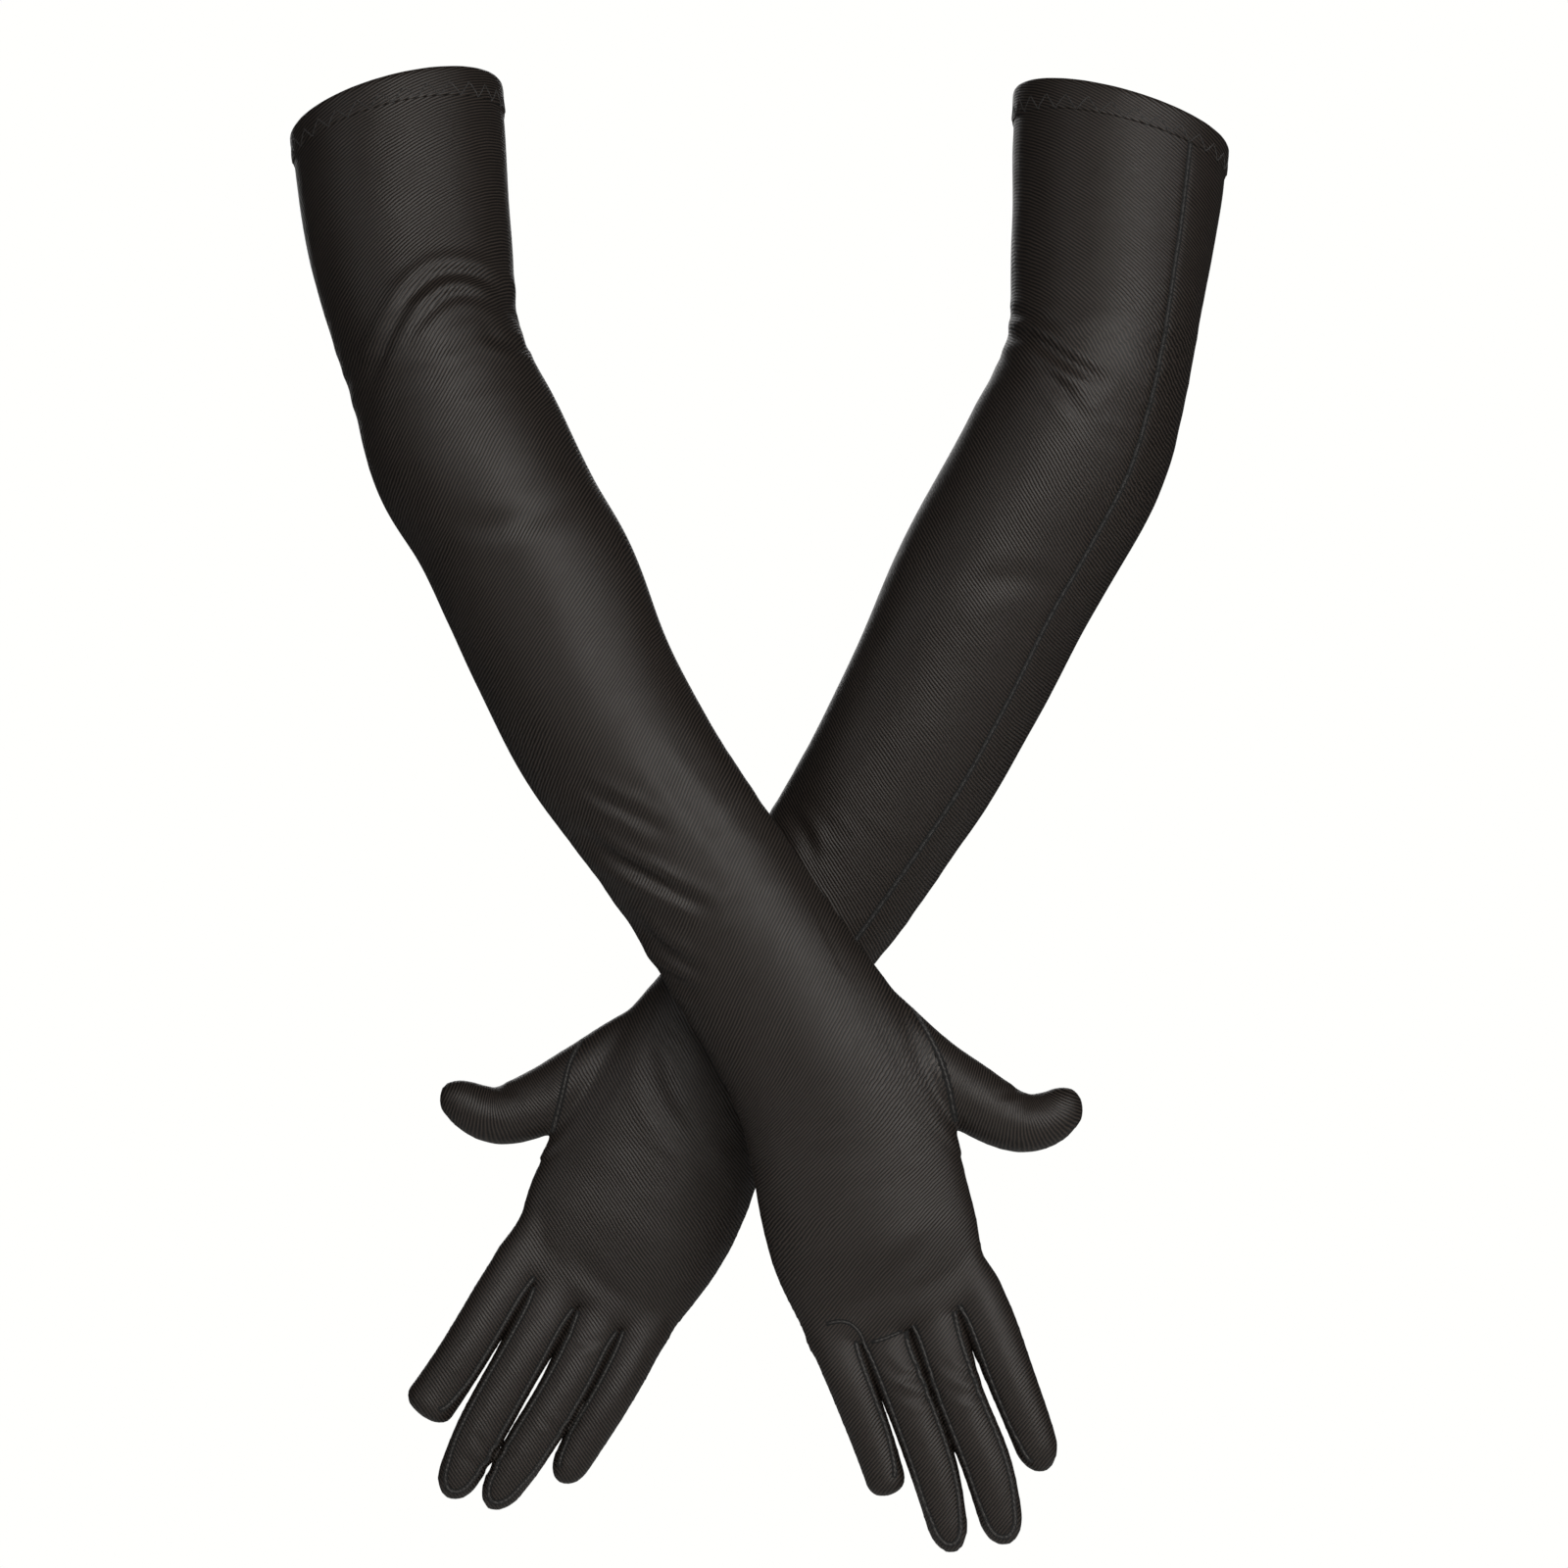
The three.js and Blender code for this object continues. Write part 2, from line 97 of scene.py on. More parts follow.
# Stations down each limb: distance from the middle plane to the wearer's own side, depth, height,
# half width, half depth. They are the CAD model's own, apart from the thumbs' roots and tips.
# seam_angle: where the side seam runs round the arm, in degrees from the back of the hand.
# rim_slope: how far the rim drops for each millimetre across and away.
# rib_turn: distance down the arm, and how far the ribs turn from square across it there, in degrees.
# tips: the length of each digit's rounding.
# thumb_seam and short_seams: points across and in height.
RIGHT = {
    "name": "right",
    "side": -1,
    "seam_angle": 160,
    "rim_slope": (-0.147, 0.03),
    "rib_turn": ((0, 14), (50, 30), (95, 40), (145, 33), (480, 32)),
    "arm": (
        (130, 0, 0, 38.5, 38),
        (124.6, -14, -47, 36.8, 36),
        (116.4, -26, -88, 32.4, 34.5),
        (103.8, -31, -121, 35.8, 35),
        (90.4, -33.5, -146, 34.5, 34),
        (78.5, -35, -169, 35.3, 33),
        (56.5, -38, -218, 33.7, 29),
        (26.2, -41, -264, 31.6, 24),
        (-3.3, -42, -309, 32.6, 20.5),
        (-27, -42, -350, 35.3, 19),
        (-39.6, -41, -398, 37.4, 16),
        (-50.7, -40, -433, 34.6, 12),
    ),
    "digits": {
        "index": ((-68.8, -40, -403, 8.2), (-80.4, -40, -427, 8.8), (-90, -41, -453, 8.6),
                  (-98.6, -38, -476, 7.6), (-101.5, -36, -486, 6.2)),
        "middle": ((-54, -40, -408, 8.2), (-62.2, -40, -431, 8.4), (-70.4, -42, -456, 8.6),
                   (-81.4, -39, -484, 8.8), (-88.5, -34, -512, 7)),
        "ring": ((-36.8, -40, -412, 8.4), (-44, -40, -436, 8.3), (-51.9, -41, -456, 8.6),
                 (-62.6, -38, -486, 8.5), (-69.5, -34, -515, 6.2)),
        "little": ((-18.8, -39, -418, 7.6), (-25.6, -40, -437, 8.4), (-31.7, -41, -452, 8),
                   (-40.6, -38, -475, 7.5), (-47, -36, -494, 6.6)),
        "thumb": ((-36, -42, -315, 8.8), (-60.4, -40, -341, 11.4), (-73.4, -38, -351.4, 12.3),
                  (-94, -36, -361.8, 10.6), (-105.2, -36, -358.8, 9.2), (-112.6, -36, -350, 6.3)),
    },
    "tips": {"index": 9, "middle": 10, "ring": 10, "little": 4, "thumb": 7},
    "thumb_seam": ((176, -308), (189.4, -328.3), (194.6, -338.8), (197.8, -349.3), (200, -361)),
    "short_seams": (
        ((154, -433), (158, -432), (162, -432.5), (166, -436), (168, -441)),
        ((170, -439.5), (175, -438), (181, -435.5)),
    ),
}
LEFT = {
    "name": "left",
    "side": 1,
    "seam_angle": 310,
    "rim_slope": (0.2, 0.05),
    "rib_turn": ((0, 18), (50, 33), (95, 37), (145, 27), (280, 24), (390, 31), (480, 27)),
    "arm": (
        (129.8, -0.8, -3.5, 39, 38),
        (126.3, -11, -49, 36.2, 36),
        (121.2, -20, -88, 33.2, 34.5),
        (110.3, -20, -121, 36.6, 35),
        (82.8, -14, -172, 35.8, 33),
        (58.5, -6, -222, 34.2, 29),
        (30.6, 1, -268, 31.3, 23.5),
        (-1.4, 4, -314, 30, 20),
        (-26.3, 5, -354, 35.3, 18.5),
        (-43.8, 6, -391, 37.4, 15.5),
        (-62.6, 7, -427, 33.6, 12),
    ),
    "digits": {
        "index": ((-76.4, 6, -395, 8.3), (-88.4, 6, -415.4, 8.6), (-104.6, 6, -443, 8.8),
                  (-115.4, 9, -459.6, 9), (-121, 10, -467.4, 9.1)),
        "middle": ((-60.3, 6, -401, 8.3), (-72.8, 6, -423.8, 8.4), (-83.4, 5, -443.4, 8.7),
                   (-99.8, 8, -473, 8.8), (-111.6, 12, -497.5, 6.8)),
        "ring": ((-46.1, 6, -411, 8.3), (-58.2, 6, -434.3, 8.3), (-68, 5, -454.2, 8.5),
                 (-84, 8, -480.8, 8.3), (-97.2, 12, -501, 6.2)),
        "little": ((-30.2, 7, -419.4, 7.6), (-44.4, 6, -445, 7.9), (-53.5, 6, -461.5, 7.5),
                   (-63.2, 9, -477.3, 7.2), (-71.5, 12, -492, 6.1)),
        "thumb": ((-28, 5, -318, 5), (-41, 5, -328, 9), (-62, 7, -345.2, 11.8), (-77, 9, -354.6, 12),
                  (-94.2, 10, -360, 10.3), (-105.4, 10, -355.6, 8.3), (-113.2, 10, -349.4, 5)),
    },
    "tips": {"index": 4, "middle": 9, "ring": 9, "little": 8, "thumb": 5},
    "thumb_seam": ((70, -324), (66.5, -333), (62.6, -340), (59.5, -352.5), (56, -366)),
    "short_seams": (),
}
FINGERS = ("index", "middle", "ring", "little")
THUMB = 4  # the thumb's place after the fingers
# Edges of each finger that have a seam: +1 towards the thumb, -1 away from it.
EDGES = {"index": (-1,), "middle": (1, -1), "ring": (1, -1), "little": (1,)}


def smooth(t):
    t = np.clip(t, 0, 1)
    return t * t * (3 - 2 * t)


def unit(v):
    return v / np.linalg.norm(v, axis=-1, keepdims=True)


# ---------- lines of the limbs ----------
def catmull(points, knots, steps):
    """A Catmull-Rom curve through the points, with steps samples for each span."""
    points = np.vstack([2 * points[0] - points[1], points, 2 * points[-1] - points[-2]])
    spans = np.concatenate([knots[:1], knots, knots[-1:]])
    made = []
    for i in range(1, len(points) - 2):
        p0, p1, p2, p3 = points[i - 1:i + 3]
        d0, d1, d2 = spans[i - 1], spans[i], spans[i + 1]
        t1 = ((p1 - p0) / d0 - (p2 - p0) / (d0 + d1) + (p2 - p1) / d1) * d1
        t2 = ((p2 - p1) / d1 - (p3 - p1) / (d1 + d2) + (p3 - p2) / d2) * d1
        t = np.arange(steps)[:, None] / steps
        made.append(p1 + t1 * t + (3 * (p2 - p1) - 2 * t1 - t2) * t**2
                    + (2 * (p1 - p2) + t1 + t2) * t**3)
    made.append(points[-2][None])
    return np.vstack(made)


class Limb:
    """A smooth line with its half width, half depth and a frame at each sample."""

    def __init__(self, glove, stations, slope=(0, 0), steps=28):
        rows = np.array([(s[0], s[1], s[2], s[3], s[4] if len(s) > 4 else FLATNESS * s[3])
                         for s in stations], float)
        centres = np.column_stack([CUFF_SPACING / 2 + glove["side"] * rows[:, 0], rows[:, 1], rows[:, 2]])
        spans = np.sqrt(np.linalg.norm(np.diff(centres, axis=0), axis=1))
        self.centre = catmull(centres, spans, steps)
        self.size = catmull(rows[:, 3:5], np.ones(len(spans)), steps)
        self.along = unit(np.gradient(self.centre, axis=0))
        away = AWAY - (self.along @ AWAY)[:, None] * self.along
        self.away = unit(away)
        self.across = np.cross(self.along, self.away)
        gone = np.linalg.norm(np.diff(self.centre, axis=0), axis=1)
        self.at = np.concatenate([[0], np.cumsum(gone)])
        self.length = self.at[-1]
        self.slope = slope

    def lean(self, distance, across, away):
        """How far down the line a point of the sloping cross section lies."""
        fade = 1 - smooth(distance / SLOPE_DEPTH)
        return fade * (self.slope[0] * across + self.slope[1] * away)

    def frame(self, distance):
        """Centre, along, across, away, half width and half depth at a distance down the line."""
        def pick(rows):
            columns = rows.reshape(len(rows), -1).T
            return np.stack([np.interp(distance, self.at, c) for c in columns], -1)
        size = pick(self.size)
        return (pick(self.centre), unit(pick(self.along)), unit(pick(self.across)),
                unit(pick(self.away)), size[..., 0], size[..., 1])

    def local(self, points):
        """Distance down the line, across and away of each point, past the ends too."""
        nearest = np.empty(len(points), int)
        for a in range(0, len(points), BATCH):
            gap = points[a:a + BATCH, None] - self.centre[None]
            nearest[a:a + BATCH] = np.argmin((gap * gap).sum(-1), axis=1)
        off = points - self.centre[nearest]
        down = self.at[nearest] + (off * self.along[nearest]).sum(-1)
        across = (off * self.across[nearest]).sum(-1)
        away = (off * self.away[nearest]).sum(-1)
        return down - self.lean(down, across, away), across, away

    def on_skin(self, distance, angle, lift=0.0):
        """A point on the limb's surface: angle in degrees from the back of the hand, + to +across."""
        distance = np.asarray(distance, float)
        centre, along, across, away, width, depth = self.frame(distance)
        turn = np.radians(angle)
        x, y = (width + lift) * np.sin(turn), -(depth + lift) * np.cos(turn)
        past = np.minimum(0, distance) + self.lean(distance, x, y)
        return centre + x[..., None] * across + y[..., None] * away + past[..., None] * along


# ---------- meshes ----------
def add_tube(verts, faces, centre, across, away, width, depth, sides):
    """One closed tube of elliptical rings, with its two ends capped."""
    first = len(verts)
    turn = np.arange(sides) * 2 * np.pi / sides
    for c, a, w, hw, hd in zip(centre, across, away, width, depth):
        ring = c + np.outer(hw * np.cos(turn), a) + np.outer(hd * np.sin(turn), w)
        verts.extend(ring.tolist())
    rings = len(centre)
    for r in range(rings - 1):
        for k in range(sides):
            a = first + r * sides + k
            b = first + r * sides + (k + 1) % sides
            faces.append((a, b, b + sides, a + sides))
    faces.append(tuple(first + k for k in reversed(range(sides))))
    faces.append(tuple(first + (rings - 1) * sides + k for k in range(sides)))


def digit_rings(limb, tip, offset):
    """Distances, widths and depths of a digit's rings, closing in a rounded tip."""
    end = limb.length + offset
    closing = end - tip * np.cos(np.linspace(0, np.pi / 2, 10)[1:])
    distance = np.concatenate([np.linspace(0, end - tip, 24), closing])
    left = end - distance
    rounding = np.where(left < tip, np.sqrt(np.maximum(0, 1 - (1 - left / tip) ** 2)), 1)
    rounding = np.maximum(rounding, 0.08)
    centre, along, across, away, width, depth = limb.frame(distance)
    past = np.maximum(0, distance - limb.length)[:, None]
    return centre + past * along, across, away, (width + offset) * rounding, (depth + offset) * rounding


def web_rings(one, other):
    """The web between two fingers: a short flat plug out of the palm."""
    distance = np.linspace(0, WEB_REACH, 14)
    both = zip(one.frame(distance), other.frame(distance))
    centre, _, across, away, *_ = (0.5 * (a + b) for a, b in both)
    taper = np.sqrt(np.maximum(0.05, 1 - (distance / WEB_REACH) ** 4))
    return centre, across, away, WEB_SIZE[0] * taper, WEB_SIZE[1] * taper


def arm_rings(arm):
    """Rings down the sleeve and the palm, which slope with the rim and thin towards the webs."""
    distance = np.linspace(-8, arm.length, 150)
    centre, along, across, away, width, depth = arm.frame(distance)
    centre = centre + np.minimum(0, distance)[:, None] * along
    fade = 1 - smooth(distance[:, None] / SLOPE_DEPTH)
    across = across + fade * arm.slope[0] * along
    away = away + fade * arm.slope[1] * along
    left = arm.length - distance
    flat = PALM_EDGE + (1 - PALM_EDGE) * smooth(left / PALM_CLOSING)
    flat = flat * (0.75 + 0.25 * smooth(left / 3))
    narrow = 0.95 + 0.05 * smooth(left / PALM_CLOSING)
    return centre, across, away, width * narrow, depth * flat


def rough_mesh(glove, arm, digits):
    """Palm, sleeve and digits as overlapping closed tubes."""
    verts, faces = [], []
    add_tube(verts, faces, *arm_rings(arm), 72)
    for name, limb in digits.items():
        add_tube(verts, faces, *digit_rings(limb, glove["tips"][name], -PINCH), 28)
    fingers = [digits[name] for name in FINGERS]
    for one, other in zip(fingers, fingers[1:]):
        add_tube(verts, faces, *web_rings(one, other), 16)
    return verts, faces


def evaluated(obj):
    graph = bpy.context.evaluated_depsgraph_get()
    return bpy.data.meshes.new_from_object(obj.evaluated_get(graph))


def remeshed(verts, faces, voxel):
    """The voxel skin round some closed meshes."""
    mesh = bpy.data.meshes.new("rough")
    mesh.from_pydata(verts, [], faces)
    obj = bpy.data.objects.new("rough", mesh)
    bpy.context.collection.objects.link(obj)
    remesh = obj.modifiers.new("skin", "REMESH")
    remesh.mode = "VOXEL"
    remesh.voxel_size = voxel
    skin = evaluated(obj)
    bpy.data.objects.remove(obj)
    bpy.data.meshes.remove(mesh)
    return skin


def coordinates(mesh):
    co = np.empty(len(mesh.vertices) * 3)
    mesh.vertices.foreach_get("co", co)
    return co.reshape(-1, 3)


def normals(mesh):
    mesh.update()
    values = np.empty(len(mesh.vertices) * 3)
    mesh.vertex_normals.foreach_get("vector", values)
    return values.reshape(-1, 3)


def edge_array(mesh):
    edges = np.empty(len(mesh.edges) * 2, int)
    mesh.edges.foreach_get("vertices", edges)
    return edges.reshape(-1, 2)


def relax(co, edges, rounds, weight=1.0, shrink=0.52):
    """Taubin smoothing, which keeps the volume, or plain smoothing where shrink is 0."""
    both = np.concatenate([edges, edges[:, ::-1]])
    count = np.bincount(both[:, 0], minlength=len(co))[:, None]
    weight = np.broadcast_to(np.asarray(weight, float).reshape(-1, 1), (len(co), 1))
    for _ in range(rounds):
        for factor in (0.5, -shrink) if shrink else (0.5,):
            mean = np.stack([np.bincount(both[:, 0], co[both[:, 1], k], len(co)) for k in range(3)], -1)
            co = co + factor * weight * (mean / count - co)
    return co


# ---------- folds and wrinkles ----------
# Folds of the fabric: points across and in height, depth of the valley, half width.
FOLDS = {
    "right": (
        (((-10, -101), (-4, -89), (1, -78), (8, -66), (17, -60), (28, -60), (37, -65), (43, -73),
          (47, -84)), 1.5, 2.4),
        (((2, -88), (7, -80), (13, -73), (23, -67), (34, -69), (43, -80)), 0.8, 2.0),
        (((48, -88), (40, -84), (32, -82)), 0.7, 2.0),
        (((20, -148), (34, -150), (50, -146), (66, -138)), 0.5, 4.0),
        (((88, -226), (101, -241), (112, -254), (123, -267)), 0.5, 3.2),
        (((66, -241), (76, -247), (86, -252), (97, -259)), 0.9, 2.2),
        (((66, -258), (78, -267), (92, -275), (111, -285)), 1.9, 2.2),
        (((82, -286), (89, -294), (97, -301), (108, -307)), 1.7, 2.2),
        (((92, -305), (99, -310), (109, -316)), 1.1, 2.0),
        (((168, -431), (178, -416), (190, -402)), 0.45, 3.4),
        (((183, -408), (170, -421), (162, -431)), 0.35, 3.4),
        (((174, -446), (182, -452), (192, -450)), 0.7, 1.4),
        (((178, -455), (186, -460), (195, -457)), 0.6, 1.3),
        (((194, -446), (202, -451), (210, -447)), 0.6, 1.3),
        (((196, -454), (204, -459), (212, -455)), 0.5, 1.3),
        (((215, -352), (222, -350), (228, -346)), 0.5, 1.4),
    ),
    "left": (
        (((216, -80), (226, -82), (238, -90), (252, -98)), 1.6, 2.2),
        (((218, -74), (226, -74), (236, -78)), 0.9, 2.0),
        (((228, -90), (237, -100), (246, -113)), 0.8, 2.4),
        (((196, -176), (208, -170), (222, -168), (236, -172)), 0.5, 4.0),
        (((140, -250), (146, -258), (150, -268)), 0.8, 2.2),
        (((90, -320), (94, -328), (101, -336), (106, -343)), 0.7, 2.4),
        (((91, -325), (93, -347), (105, -368), (117, -386)), 0.7, 3.2),
        (((86, -342), (98, -364), (112, -379)), 0.5, 3.0),
        (((62, -408), (71, -417), (81, -427)), 0.4, 3.2),
        (((28, -474), (34, -480), (42, -481)), 0.7, 1.3),
        (((24, -482), (30, -486), (37, -488)), 0.6, 1.2),
        (((52, -468), (58, -472), (66, -470)), 0.5, 1.3),
        (((60, -436), (66, -441), (74, -440)), 0.5, 1.4),
        (((44, -352), (38, -350), (33, -346)), 0.5, 1.4),
    ),
}
# Where the fabric bunches: distance down the arm, spread, height of the wrinkles, their length.
BUNCHES = ((95, 24, 0.35, 10.0), (300, 34, 0.2, 9.0), (415, 22, 0.2, 9.0))
BUNCH_GRAIN = 26.0  # how far round the arm a wrinkle keeps its shape
FOLD_SAMPLES = 40  # points taken down the line of a fold
SLACK = 0.7  # height of the unevenness of fabric that is stretched over an arm
SLACK_SIZE = (24, 24, 34)  # and its size across, away and down
SIDE_SEAM_DEPTH = 0.4  # of the furrow along the side seam
PUCKER = 0.16  # height of the puckers on both sides of the side seam
PUCKER_PITCH = 5.2  # from one pucker to the next


def curve_through(points, count):
    """count points evenly down a Catmull-Rom curve."""
    points = np.array(points, float)
    fine = catmull(points, np.sqrt(np.linalg.norm(np.diff(points, axis=0), axis=1)), 20)
    at = np.concatenate([[0], np.cumsum(np.linalg.norm(np.diff(fine, axis=0), axis=1))])
    wanted = np.linspace(0, at[-1], count)
    return np.stack([np.interp(wanted, at, fine[:, k]) for k in range(fine.shape[1])], -1)


def fold_height(co, normal, folds):
    """How far each point moves out of the surface for the folds on the backs of the gloves."""
    height = np.zeros(len(co))
    front = smooth((0.25 - normal[:, 1]) / 0.5)
    flat = co[:, [0, 2]]
    for points, depth, width in folds:
        line = curve_through(points, FOLD_SAMPLES)
        lo, hi = line.min(0) - 5 * width, line.max(0) + 5 * width
        near = np.nonzero(((flat > lo) & (flat < hi)).all(1) & (front > 0))[0]
        gap = flat[near, None] - line[None]
        far = np.sqrt((gap * gap).sum(-1))
        closest = far.argmin(1)
        far = far[np.arange(len(near)), closest]
        taper = np.sin(np.pi * (closest + 1) / (FOLD_SAMPLES + 1)) ** 0.7
        valley = -depth * np.exp(-(far / width) ** 2)
        ridge = 0.55 * depth * np.exp(-((far - 2.1 * width) / (1.1 * width)) ** 2)
        height[near] += (valley + ridge) * taper * front[near]
    return height


def bunch_height(down, around, seed):
    """Wrinkles across the limb where it bends: waves of uneven spacing that fade in and out."""
    height = np.zeros(len(down))
    for at, spread, tall, wave in BUNCHES:
        near = np.nonzero(np.abs(down - at) < 2.2 * spread)[0]
        for i in near:
            fade = math.exp(-((down[i] - at) / spread) ** 2)
            a, b = around[i]
            value = noise.noise(Vector((down[i] / wave, a / BUNCH_GRAIN + seed, b / BUNCH_GRAIN)))
            height[i] += tall * fade * (1 - 2.4 * abs(value))
    return height


def slack_height(co, seed):
    """The slight unevenness of fabric that is stretched over an arm."""
    scaled = co / np.array(SLACK_SIZE) + np.array([seed, 0, 0])
    return np.array([noise.noise(Vector(place)) for place in scaled]) * SLACK


def seam_height(down, turn, width, seam_turn, end):
    """The furrow of the side seam and the puckers along it."""
    off = (np.mod(turn - seam_turn + np.pi, 2 * np.pi) - np.pi) * width
    there = smooth((end - down) / 20)
    valley = -SIDE_SEAM_DEPTH * np.exp(-(off / 1.3) ** 2)
    beside = np.exp(-((np.abs(off) - 2) / 2.2) ** 2)
    pucker = PUCKER * np.sin(2 * np.pi * down / PUCKER_PITCH) * beside
    return (valley + pucker) * there


# ---------- one glove's skin ----------
JOINTS = {j["name"]: j for j in frame["joints"]}


class Glove:
    """One glove: the lines of its limbs, where its digits turn, and its pieces so far."""

    def __init__(self, sizes):
        self.sizes = sizes
        self.name = sizes["name"]
        self.side = sizes["side"]
        self.arm = Limb(sizes, sizes["arm"], sizes["rim_slope"])
        self.seam_turn = math.atan2(math.cos(math.radians(sizes["seam_angle"])),
                                    -math.sin(math.radians(sizes["seam_angle"])))
        self.seam_end = WRIST * self.arm.length
        self.thumb_edge = 1 if self.side < 0 else -1
        self.digits = {n: Limb(sizes, s) for n, s in sizes["digits"].items()}
        self.bases = {n: self.base_of(n) for n in self.digits}
        self.pieces = []

    def base_of(self, digit):
        """Where a digit turns, and the direction out of the palm there."""
        joint = JOINTS[f"{self.name}_{digit}_bend"]
        point = np.array(joint["pos_m"]) / MM
        if digit == "thumb":
            return point, np.cross(AWAY, np.array(joint["axis"]))
        down = self.digits[digit].local(point[None])[0]
        return point, self.digits[digit].frame(down)[1][0]

    def rib(self, points):
        """How far each point lies along the line that crosses the ribs squarely."""
        down, across, _ = self.arm.local(points)
        at, turn = np.array(self.sizes["rib_turn"], float).T
        steps = np.arange(*ARM_REACH, 1.0)
        gone = np.cumsum(np.cos(np.radians(np.interp(steps, at, turn))))
        lean = -self.side * np.sin(np.radians(np.interp(down, at, turn)))
        return np.interp(down, steps, gone) + lean * across

    def thumb_rib(self, points):
        """The ribs of the thumb's cover: round the thumb, and the palm's own up to its seam."""
        down, across, _ = self.digits["thumb"].local(points)
        seam = curve_through(self.sizes["thumb_seam"], 20)[::-1]
        seam_across = np.interp(points[:, 2], seam[:, 1], seam[:, 0])
        beyond = self.side * (seam_across - points[:, 0]) > 0
        return np.where(beyond, down + 0.25 * across, self.rib(points))

    def owner(self, points):
        """Which digit each point belongs to (-1 for the rest) and its distance past that base."""
        best = np.full(len(points), np.inf)
        owner = np.full(len(points), -1)
        past = np.zeros(len(points))
        for k, (name, limb) in enumerate(self.digits.items()):
            down, across, away = limb.local(points)
            _, _, _, _, width, depth = limb.frame(down)
            radial = np.hypot(across / width, away / depth)
            point, out = self.bases[name]
            beyond = (points - point) @ out
            mine = (radial < best) & (radial < 1.7) & (beyond > -16)
            best[mine] = radial[mine]
            owner[mine] = k
            past[mine] = beyond[mine]
        return owner, past


def fullness(glove, co, out, owner, past):
    """How far each point of the thinned digits moves out to its full size."""
    thumb = owner == THUMB
    swell = np.where(owner >= 0, smooth((past + np.where(thumb, 12, 17)) / 13), 0)
    near_base = BASE_FULLNESS * np.exp(-((past - 3) / 15) ** 2)
    near_web = WEB_FULLNESS * np.exp(-((past + 4) / 7) ** 2)
    full = near_base + near_web
    full *= 1 - smooth((np.abs(glove.arm.local(co)[1]) - 22) / 9)
    full *= 1 - out[:, 1] ** 2
    full[thumb] = 0
    return (PINCH + 0.15 + full) * swell


def wrinkle_height(glove, co, out, owner):
    """Folds, wrinkles, slack and the side seam's furrow, all fading out at the hem."""
    down, across, away = glove.arm.local(co)
    height = fold_height(co, out, FOLDS[glove.name])
    height += bunch_height(down, np.column_stack([across, away]), 3.0 * glove.side) * (owner < 0)
    height += slack_height(co, 5.0 * glove.side) * np.where(owner >= 0, 0.35, 1)
    _, _, _, _, width, depth = glove.arm.frame(down)
    turn = np.arctan2(across / width, -away / depth)
    height += seam_height(down, turn, width, glove.seam_turn, glove.seam_end)
    return height * smooth((down - HEM_DEPTH + 2) / 14)


def shaped(glove):
    """The whole skin of a glove, closed at the cuff, as a bmesh in millimetres."""
    skin = remeshed(*rough_mesh(glove.sizes, glove.arm, glove.digits), VOXEL)
    edges = edge_array(skin)
    co = relax(coordinates(skin), edges, 10)
    owner, past = glove.owner(co)
    web = np.where(owner >= 0, np.exp(-(past / np.where(owner == THUMB, 13, 5)) ** 2), 0)
    co = relax(co, edges, 6, web, shrink=0)
    skin.vertices.foreach_set("co", co.ravel())
    out = normals(skin)
    co = co + fullness(glove, co, out, owner, past)[:, None] * out
    knuckles = (owner >= 0) & (owner != THUMB)
    backs = knuckles * np.exp(-((past + 7) / 10) ** 2) * out[:, 1] ** 2
    co = relax(co, edges, 25, backs, shrink=0)
    co = co + wrinkle_height(glove, co, out, owner)[:, None] * out
    co = relax(co, edges, 2)
    skin.vertices.foreach_set("co", co.ravel())
    made = bmesh.new()
    made.from_mesh(skin)
    bpy.data.meshes.remove(skin)
    return made


def cut(made, faces, point, direction, clear=False):
    """Cuts some faces along a plane, and takes away what lies behind it if clear is set."""
    geometry = set(faces)
    for face in faces:
        geometry.update(face.verts)
        geometry.update(face.edges)
    bmesh.ops.bisect_plane(made, geom=list(geometry), dist=1e-5, plane_co=Vector(point),
                           plane_no=Vector(direction), clear_inner=clear)


def open_cuff(glove, made):
    """Cuts the skin off where the hem covers its edge."""
    centre, along, across, away, *_ = glove.arm.frame(HEM_DEPTH - 1.5)
    slope = glove.arm.slope
    near = [f for f in made.faces if f.calc_center_median().z > -40]
    cut(made, near, centre, unit(along - slope[0] * across - slope[1] * away), clear=True)


def split_skin(glove, made):
    """Opens the cuff, cuts the skin at the digits' bases and says which piece each face is in."""
    open_cuff(glove, made)
    for name, limb in glove.digits.items():
        point, out = glove.bases[name]
        middles = np.array([f.calc_center_median() for f in made.faces])
        close = (np.abs((middles - point) @ out) < 4) & (np.linalg.norm(middles - point, axis=1) < 40)
        made.faces.ensure_lookup_table()
        down, across, away = limb.local(middles[close])
        size = limb.frame(down)
        inside = np.hypot(across / size[4], away / size[5]) < (2.6 if name == "thumb" else 1.35)
        picked = [made.faces[i] for i in np.nonzero(close)[0][inside]]
        cut(made, picked, point, out)
    middles = np.array([f.calc_center_median() for f in made.faces])
    owner, past = glove.owner(middles)
    owner[past < 0] = -1
    return owner


def as_arrays(made):
    """Vertices, faces and normals of a bmesh."""
    mesh = bpy.data.meshes.new("skin")
    made.to_mesh(mesh)
    faces = [tuple(p.vertices) for p in mesh.polygons]
    arrays = coordinates(mesh), faces, normals(mesh)
    bpy.data.meshes.remove(mesh)
    return arrays


